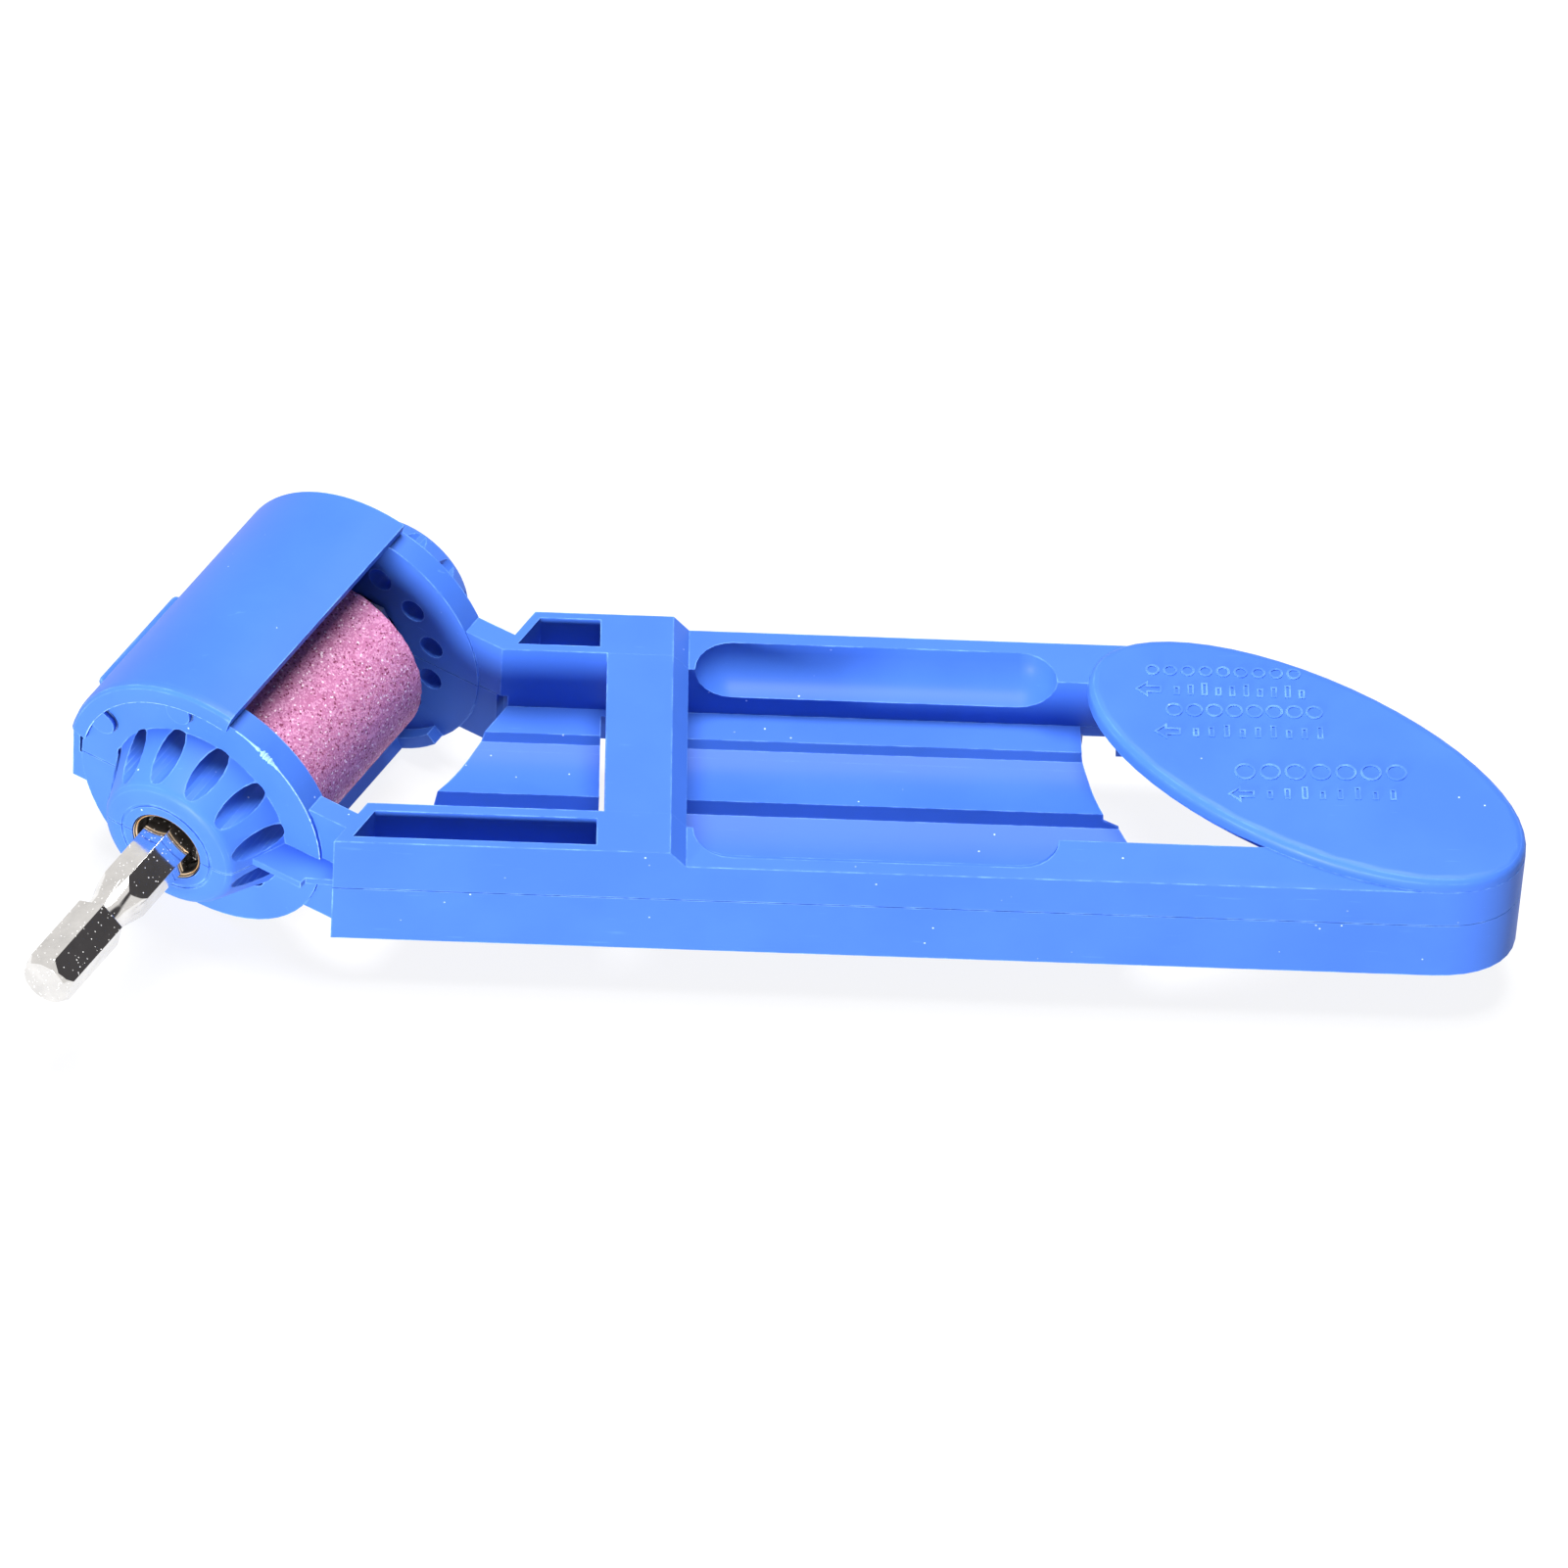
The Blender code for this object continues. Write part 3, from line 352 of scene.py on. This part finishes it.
def metal(name, color, low, high, specks=0.0):
    """Bright metal with uneven gloss and fine marks, and pale dust specks where asked."""
    n = Nodes(name)
    dirt = n.noise(3.0, 4.0, 0.6)
    darker = tuple(c * 0.84 for c in color)
    n.link(n.mix(n.ramp(dirt, 0.35, 0.7), color, darker), n.shader.inputs["Base Color"])
    n.link(n.ramp(dirt, 0.3, 0.7, low, high), n.shader.inputs["Roughness"])
    n.link(n.bump(n.noise(0.5, 2.0), 0.004, 0.5), n.shader.inputs["Normal"])
    if specks:
        dust = n.ramp(n.voronoi(0.55), 0.12, 0.17, 1.0, 0.0)
        dust = n.math("MULTIPLY", dust, n.ramp(n.noise(2.0, 2.0), 0.36, 0.42))
        n.link(n.math("SUBTRACT", 1.0, n.math("MULTIPLY", dust, specks)), n.shader.inputs["Metallic"])
    else:
        n.set(Metallic=1.0)
    return n.mat


BLUE = blue_plastic("blue_plastic_detail", (0.046, 0.140, 0.56), (0.052, 0.154, 0.61))
PINK = pink_corundum()
CHROME = metal("chrome_detail", (0.84, 0.825, 0.81), 0.06, 0.12, specks=0.9)
# Pale flash colour; on the guard's lip strip it also serves as a painted highlight.
PALE_BURR_AND_HIGHLIGHT = blue_plastic("pale_burr_and_painted_highlight_detail", (0.22, 0.42, 0.88), (0.42, 0.60, 0.93))
SHADE = blue_plastic("gap_shade_detail", (0.004, 0.012, 0.085), (0.006, 0.018, 0.11))
# Near-black metal painted into the bush's grooves as shade.
PAINTED_GROOVE_SHADE = metal("bush_groove_painted_shade_detail", (0.050, 0.044, 0.040), 0.42, 0.58)
STEEL = metal("bearing_steel_detail", (0.60, 0.59, 0.58), 0.18, 0.32)
BRONZE = metal("bush_bronze_detail", (0.96, 0.76, 0.54), 0.10, 0.18)
ZINC = metal("zinc_detail", (0.66, 0.67, 0.70), 0.28, 0.42)
MATERIALS = {"blue_plastic": BLUE, "pink_corundum": PINK, "chromed_steel": CHROME,
             "bearing_steel": STEEL, "bush_bronze": BRONZE, "zinc_plated_steel": ZINC}
SLOTS = {row["node"]: row["material_slot"] for row in frame["record"]["subparts"]}


def dress_nodes():
    """Give every CAD node its detailed material."""
    for name, obj in frame["nodes"].items():
        obj.data.materials.clear()
        obj.data.materials.append(MATERIALS[SLOTS[name]])


def smooth_group(angle):
    """Smooth faces with edges kept sharp above an angle, after the other modifiers have run."""
    tree = bpy.data.node_groups.new("smooth_by_angle", "GeometryNodeTree")
    tree.interface.new_socket("Geometry", in_out="INPUT", socket_type="NodeSocketGeometry")
    tree.interface.new_socket("Geometry", in_out="OUTPUT", socket_type="NodeSocketGeometry")
    start = tree.nodes.new("NodeGroupInput")
    end = tree.nodes.new("NodeGroupOutput")
    faces = tree.nodes.new("GeometryNodeSetShadeSmooth")
    edges = tree.nodes.new("GeometryNodeSetShadeSmooth")
    edges.domain = "EDGE"
    edges.inputs["Shade Smooth"].default_value = False
    turn = tree.nodes.new("GeometryNodeInputMeshEdgeAngle")
    compare = tree.nodes.new("FunctionNodeCompare")
    compare.data_type = "FLOAT"
    compare.operation = "GREATER_THAN"
    compare.inputs["B"].default_value = angle
    tree.links.new(start.outputs[0], faces.inputs["Geometry"])
    tree.links.new(faces.outputs[0], edges.inputs["Geometry"])
    tree.links.new(turn.outputs["Unsigned Angle"], compare.inputs["A"])
    tree.links.new(compare.outputs["Result"], edges.inputs["Selection"])
    tree.links.new(edges.outputs[0], end.inputs[0])
    return tree


SMOOTH_GROUP = smooth_group(math.radians(32))


def soften_edges(name, width_mm):
    """Round a node's sharp edges a little, and shade its curved faces smoothly."""
    obj = frame["nodes"][name]
    weld = obj.modifiers.new("weld", "WELD")
    weld.merge_threshold = 0.0005 * MM
    bevel = obj.modifiers.new("soft_edges", "BEVEL")
    bevel.width = width_mm * MM
    bevel.segments = 2
    bevel.limit_method = "ANGLE"
    bevel.angle_limit = math.radians(35)
    bevel.miter_outer = "MITER_ARC"
    obj.modifiers.new("smooth", "NODES").node_group = SMOOTH_GROUP
    even = obj.modifiers.new("even_normals", "WEIGHTED_NORMAL")
    even.mode = "FACE_AREA_WITH_ANGLE"
    even.keep_sharp = True


# ---------------------------------------------------------------- pieces

def add_piece(name, bm, mat, body, smooth_angle=35):
    """Make a piece of a finished bmesh, and let it ride on a body."""
    bmesh.ops.recalc_face_normals(bm, faces=bm.faces)
    mesh = bpy.data.meshes.new(name)
    bm.to_mesh(mesh)
    bm.free()
    mesh.shade_smooth()
    mesh.set_sharp_from_angle(angle=math.radians(smooth_angle))
    mesh.materials.append(mat)
    obj = bpy.data.objects.new(name, mesh)
    bpy.context.scene.collection.objects.link(obj)
    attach(obj, body)
    return obj


def ring_bm(profile, steps):
    """A closed (radius, along) profile turned about the wheel axis, in part coordinates."""
    bm = bmesh.new()
    rings = []
    for i in range(steps):
        turn = 2 * math.pi * i / steps
        rings.append([bm.verts.new(at_turn(r, turn, along)) for r, along in profile])
    count = len(profile)
    for i in range(steps):
        here, after = rings[i], rings[(i + 1) % steps]
        for j in range(count):
            bm.faces.new((here[j], here[(j + 1) % count], after[(j + 1) % count], after[j]))
    return bm


def node_span(node):
    """A turned node's lowest and highest distance along the wheel axis, and its radii."""
    points = [v.co for v in frame["nodes"][node].data.vertices]
    alongs = [p.dot(AXIS) for p in points]
    radii = [(p - p.dot(AXIS) * AXIS).length for p in points]
    return min(alongs), max(alongs), min(radii), max(radii)


# How finely each kind of roughness on the wheel varies, per metre.
FINE_GRAIN = 2600
COARSE_GRAIN = 900
RIM_CHIPS = 700
PITS = 1500


def make_wheel():
    """The abrasive wheel with a grainy, slightly worn surface and ragged rims."""
    low, high, bore, radius = node_span("grinding_wheel")
    around, rows = 220, 76
    bm = bmesh.new()
    rings = []
    for j in range(rows + 1):
        along = low + (high - low) * j / rows
        edge = min(j, rows - j)
        ring = []
        for i in range(around):
            turn = 2 * math.pi * i / around
            spot = Vector((math.cos(turn) * radius, math.sin(turn) * radius, along))
            grain = noise.noise(spot * FINE_GRAIN) * 0.5 + noise.noise(spot * COARSE_GRAIN) * 0.5
            drop = 0.10 + 0.10 * grain
            if edge == 0:
                drop += 0.42 + 0.30 * noise.noise(spot * RIM_CHIPS + Vector((5, 0, 0)))
            elif edge == 1:
                drop += 0.10 + 0.16 * noise.noise(spot * RIM_CHIPS + Vector((9, 0, 0)))
            r = min(radius - drop * MM, radius - 0.02 * MM)
            shift = (0.04 + 0.04 * noise.noise(spot * PITS)) * MM
            where = along + (shift if j == 0 else -shift if j == rows else 0.0)
            ring.append(bm.verts.new(at_turn(r, turn, where)))
        rings.append(ring)
    face_rings = 9
    for end, side in ((0, 1), (rows, -1)):
        outer = rings[end]
        for k in range(1, face_rings + 1):
            share = k / face_rings
            inner = []
            for i in range(around):
                turn = 2 * math.pi * i / around
                r = (radius - 0.7 * MM) * (1 - share) + bore * share
                spot = Vector((math.cos(turn) * r, math.sin(turn) * r, end))
                pitted = (0.06 + 0.05 * noise.noise(spot * PITS)) * MM
                deep = pitted if k < face_rings else 0.03 * MM
                along = (low if side > 0 else high) + side * deep
                inner.append(bm.verts.new(at_turn(r, turn, along)))
            for i in range(around):
                bm.faces.new((outer[i], outer[(i + 1) % around], inner[(i + 1) % around], inner[i]))
            outer = inner
        rings.append(outer)
    bore_ends = (rings[rows + 1], rings[rows + 2])
    for a, b in list(zip(rings, rings[1:]))[:rows] + [bore_ends]:
        for i in range(around):
            bm.faces.new((a[i], a[(i + 1) % around], b[(i + 1) % around], b[i]))
    piece = add_piece("abrasive_wheel", bm, PINK, "wheel_rotor", 60)
    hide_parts("grinding_wheel")


def make_bush():
    """The bearing's bronze mouth: fine turned ridges, bronze on their crowns, with near-black painted
    shade in the grooves between.
    """
    low, high, bore, radius = node_span("front_bush")
    low -= 0.2 * MM
    ridges = 2
    profile = [(bore, low + 1.6 * MM)]
    crowns = [False]
    inner = bore + 0.16 * MM
    for k in range(ridges):
        step = (radius - inner) / ridges
        start = inner + step * k
        dish = (ridges - 1 - k) * 0.20 * MM
        for part, rise in ((0.0, 0.0), (0.46, 0.10), (0.66, 0.19), (0.86, 0.10)):
            crowns.append(part > 0.0)
            profile.append((start + step * part, low + dish + (0.20 - rise) * MM))
    profile += [(radius, low + 0.2 * MM), (radius, high), (bore, high)]
    crowns += [False, False, False]
    bm = ring_bm(profile, 96)
    # The grooves get the painted shade and the ridge crowns get the bronze.
    piece = add_piece("turned_bush", bm, PAINTED_GROOVE_SHADE, "sharpener_body", 60)
    piece.data.materials.append(BRONZE)
    count = len(profile)
    for index, polygon in enumerate(piece.data.polygons):
        if crowns[index % count]:
            polygon.material_index = 1
    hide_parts("front_bush")


def extend_tube(bm, previous, points):
    """Join a ring of points to the ring before it, or close the tube's start."""
    ring = [bm.verts.new(point) for point in points]
    if previous is None:
        bm.faces.new(ring)
        return ring
    count = len(ring)
    for k in range(count):
        bm.faces.new((previous[k], previous[(k + 1) % count], ring[(k + 1) % count], ring[k]))
    return ring


def ragged_strip(name, points, width_mm, seed, gaps=0.35, blob=None, body=ROOT):
    """A thin pale line of moulding flash, broken and uneven, lying along a path on the part; along the
    guard's lip it is partly a painted highlight.
    """
    bm = bmesh.new()
    rng = random.Random(seed)
    previous = None
    for i, point in enumerate(points):
        point = Vector(point)
        before, after = points[max(i - 1, 0)], points[min(i + 1, len(points) - 1)]
        ahead = (Vector(after) - Vector(before)).normalized()
        strength = noise.noise(Vector((i * 0.23, seed, 0.0))) * 0.5 + 0.5
        size = width_mm * MM * (0.35 + 0.9 * strength + 0.25 * rng.random())
        if blob is not None:
            middle, spread, extra = blob
            bulge = math.exp(-((i / (len(points) - 1) - middle) / spread) ** 2)
            size += extra * MM * bulge * (0.6 + 0.7 * rng.random())
        if strength < gaps:
            size *= 0.25
        side = ahead.cross(UP if abs(ahead.z) < 0.9 else AXIS).normalized()
        over = side.cross(ahead)
        turns = [math.pi / 3 * k for k in range(6)]
        ring = [point + side * (size * math.cos(a)) + over * (size * 0.55 * math.sin(a)) for a in turns]
        previous = extend_tube(bm, previous, ring)
    bm.faces.new(list(reversed(previous)))
    add_piece(name, bm, PALE_BURR_AND_HIGHLIGHT, body, 50)


def arc(radius, along, start, end, steps):
    """Points round the wheel axis; angles in degrees up from the handle's side."""
    turns = [math.radians(start + (end - start) * i / steps) for i in range(steps + 1)]
    return [at_turn(radius, a, along) for a in turns]


def painted_tongue_gap_shadows():
    """Painted shadow: dark strips on the end wall round each of the guard's tongues, standing in for
    the shade in the gap.
    """
    bm = bmesh.new()
    half, tip, top = 1.7 * MM, 14.3 * MM, 16.85 * MM
    round_end = [(tip + half - half * math.cos(a), half * math.sin(a))
                 for a in [math.pi * (i / 16 - 0.5) for i in range(17)]]
    path = [(top, -half)] + round_end + [(top, half)]
    for angle in TONGUE_ANGLES:
        turn = math.radians(angle)
        previous = None
        for i, (r, side) in enumerate(path):
            on_round = 0 < i < len(path) - 1
            out = Vector((r - (tip + half) if on_round else 0, side)).normalized()
            wide = (0.13 + 0.14 * (i / len(path))) * MM
            corners = []
            for push in (-0.04 * MM, wide):
                x, y = r + out.x * push, side + out.y * push
                across = x * math.cos(turn) + y * math.sin(turn)
                up = x * math.sin(turn) - y * math.cos(turn)
                corners += [in_drum(across, up, DRUM_FRONT - depth * MM) for depth in (0.07, 0.01)]
            ring = [corners[0], corners[1], corners[3], corners[2]]
            previous = extend_tube(bm, previous, ring)
        bm.faces.new(list(reversed(previous)))
    add_piece("painted_tongue_gap_shadows", bm, SHADE, ROOT)


def make_thumb_ridge():
    """A low rib along the guard's far side, where a thumb pushes it off."""
    middle, half = math.radians(RIDGE_ANGLE), math.radians(1.1)
    foot = (GUARD_OUTER - 0.1) * MM
    bm = bmesh.new()
    previous = None
    for along, share in zip(RIDGE_STATIONS, RIDGE_HEIGHTS):
        tall = (GUARD_OUTER + 0.62 * share) * MM
        shoulder = tall - 0.12 * MM
        corners = ((foot, middle + half), (shoulder, middle + half), (tall, middle + half * 0.5),
                   (tall, middle - half * 0.5), (shoulder, middle - half), (foot, middle - half))
        ring = [at_turn(r, a, along * MM) for r, a in corners]
        previous = extend_tube(bm, previous, ring)
    bm.faces.new(list(reversed(previous)))
    add_piece("thumb_ridge", bm, BLUE, GUARD, 40)


def raised_outline(bm, points, width, low, high):
    """A closed, slightly raised line on the pad."""
    count = len(points)
    inner, outer = [], []
    for i, (x, y) in enumerate(points):
        before, after = Vector(points[i - 1]), Vector(points[(i + 1) % count])
        here = Vector((x, y))
        a, b = (here - before).normalized(), (after - here).normalized()
        normal = Vector((a.y + b.y, -a.x - b.x))
        normal /= max(normal.length_squared / 2, 0.4)
        outer.append(here + normal * width / 2)
        inner.append(here - normal * width / 2)
    loops = []
    for z, row in ((low, outer), (high, outer), (high, inner), (low, inner)):
        loops.append([bm.verts.new((p.x, p.y, z)) for p in row])
    for a, b in zip(loops, loops[1:] + loops[:1]):
        for i in range(count):
            bm.faces.new((a[i], a[(i + 1) % count], b[(i + 1) % count], b[i]))


def make_pad_marks():
    """Raised rings that grow from row to row, with a hollow arrow and dashes below each row."""
    rows = (((134.4, 51.6), (154.2, 51.7), 0.75, 9), ((136.9, 44.9), (156.8, 45.3), 0.95, 8),
            ((145.2, 34.8), (167.1, 35.6), 1.20, 7))
    arrows = ((133.5, 48.3), (135.8, 41.2), (144.8, 31.0))
    bm = bmesh.new()
    low, high = PAD_TOP - 0.05 * MM, PAD_TOP + 0.14 * MM
    for (start, end, radius, count), arrow in zip(rows, arrows):
        start, end = Vector(start), Vector(end)
        lean = (end - start).normalized()
        over = Vector((-lean.y, lean.x))
        for k in range(count):
            middle = start + (end - start) * (k + 0.5) / count
            circle = [(middle + lean * radius * math.cos(a) + over * radius * math.sin(a)) * MM
                      for a in [2 * math.pi * i / 20 for i in range(20)]]
            raised_outline(bm, [tuple(c) for c in circle], 0.26 * MM, low, high)
        tip = Vector(arrow)
        shape = [(0, 0), (1.3, 1.1), (1.3, 0.45), (3.0, 0.45), (3.0, -0.45), (1.3, -0.45), (1.3, -1.1)]
        outline = [(tip + lean * x + over * y) * MM for x, y in reversed(shape)]
        raised_outline(bm, [tuple(c) for c in outline], 0.24 * MM, low, high)
        for k in range(count + 1):
            middle = tip + lean * (5.0 + (16.0 - 0.6 * radius) * k / count)
            tall = 0.45 + 0.35 * (k % 3)
            dash = [(middle + lean * x + over * y) * MM
                    for x, y in ((0.28, tall), (-0.28, tall), (-0.28, -0.7), (0.28, -0.7))]
            raised_outline(bm, [tuple(c) for c in dash], 0.20 * MM, low, high)
    add_piece("pad_marks", bm, BLUE, ROOT, 30)


add_camera()
add_world()
add_floor()
area_light("top", (0.05, 0.15, 0.9), 0.6, 17.5)
area_light("front", (-0.60, -1.02, 0.12), 0.22, 27.5)
dress_nodes()
for shell in ("upper_shell", "lower_shell", "wheel_guard"):
    soften_edges(shell, 0.14)
soften_edges("spindle", 0.10)
make_wheel()
make_bush()
make_pad_marks()
front_rim = DRUM_FRONT - 0.02 * MM
front_lip = DRUM_FRONT - 0.70 * MM
ragged_strip("rim_flash", arc(DRUM_RIM, front_rim, 74, 24, 90), 0.10, 3, 0.30, (0.32, 0.10, 0.42))
# Pale strip along the guard's lip: partly moulding flash, partly a painted highlight on the lip's edge.
ragged_strip("guard_lip_flash_and_painted_highlight", arc(LIP_INNER, front_lip, 79, 166, 110), 0.07, 5, 0.40, body=GUARD)
painted_tongue_gap_shadows()
make_thumb_ridge()
ragged_strip("lower_rim_flash", arc(DRUM_RIM, front_rim, 24, 4, 36), 0.07, 8, 0.42)

view = bpy.context.scene.view_settings
view.view_transform = "Standard"
view.look = "None"
